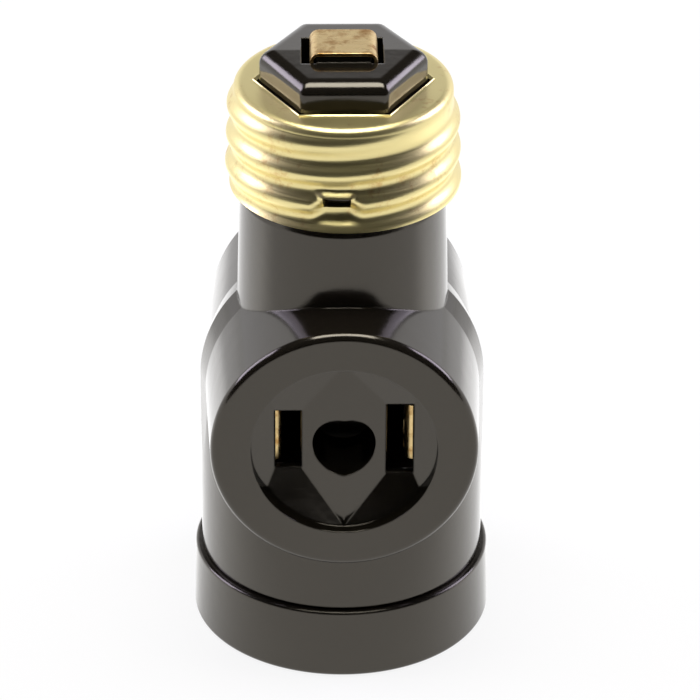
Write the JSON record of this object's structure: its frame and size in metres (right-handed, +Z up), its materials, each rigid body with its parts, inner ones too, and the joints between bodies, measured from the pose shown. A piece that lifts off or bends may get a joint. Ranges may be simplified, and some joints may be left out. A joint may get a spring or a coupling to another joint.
{
  "type": "lamp socket adapter",
  "caption": "Lampholder adapter: a brass screw shell on top, a flat-blade outlet on the front and back of the moulded body, and a lamp socket inside the ring below.",
  "frame": {"origin": "middle of the ring's bottom rim, on the screw axis", "axes": "+Z up along the screw axis towards the brass tip strap, -Y out of the front outlet, +X to the side of the wide blade slots"},
  "size_m": [0.0346, 0.0358, 0.0736],
  "materials": {
    "phenolic": "black phenolic moulding, semi-gloss",
    "brass_shell": "rolled brass, bright with light tarnish",
    "brass_strip": "pressed brass strip, satin",
    "fibre": "vulcanised fibre, matt",
    "screw_steel": "zinc-plated steel"
  },
  "bodies": {
    "root": {"upper_housing": "phenolic", "lower_ring": "phenolic", "base_screw_shell": "brass_shell", "tip_contact": "brass_strip", "line_strip": "brass_strip", "neutral_strip": "brass_strip", "front_line_contact": "brass_strip", "rear_line_contact": "brass_strip", "front_neutral_contact": "brass_strip", "rear_neutral_contact": "brass_strip", "line_rivets": "brass_strip", "neutral_rivets": "brass_strip", "lamp_tip_contact": "brass_strip", "insulating_disc": "fibre", "lamp_screw_shell": "brass_shell", "shell_screws": "screw_steel"}
  },
  "joints": []
}
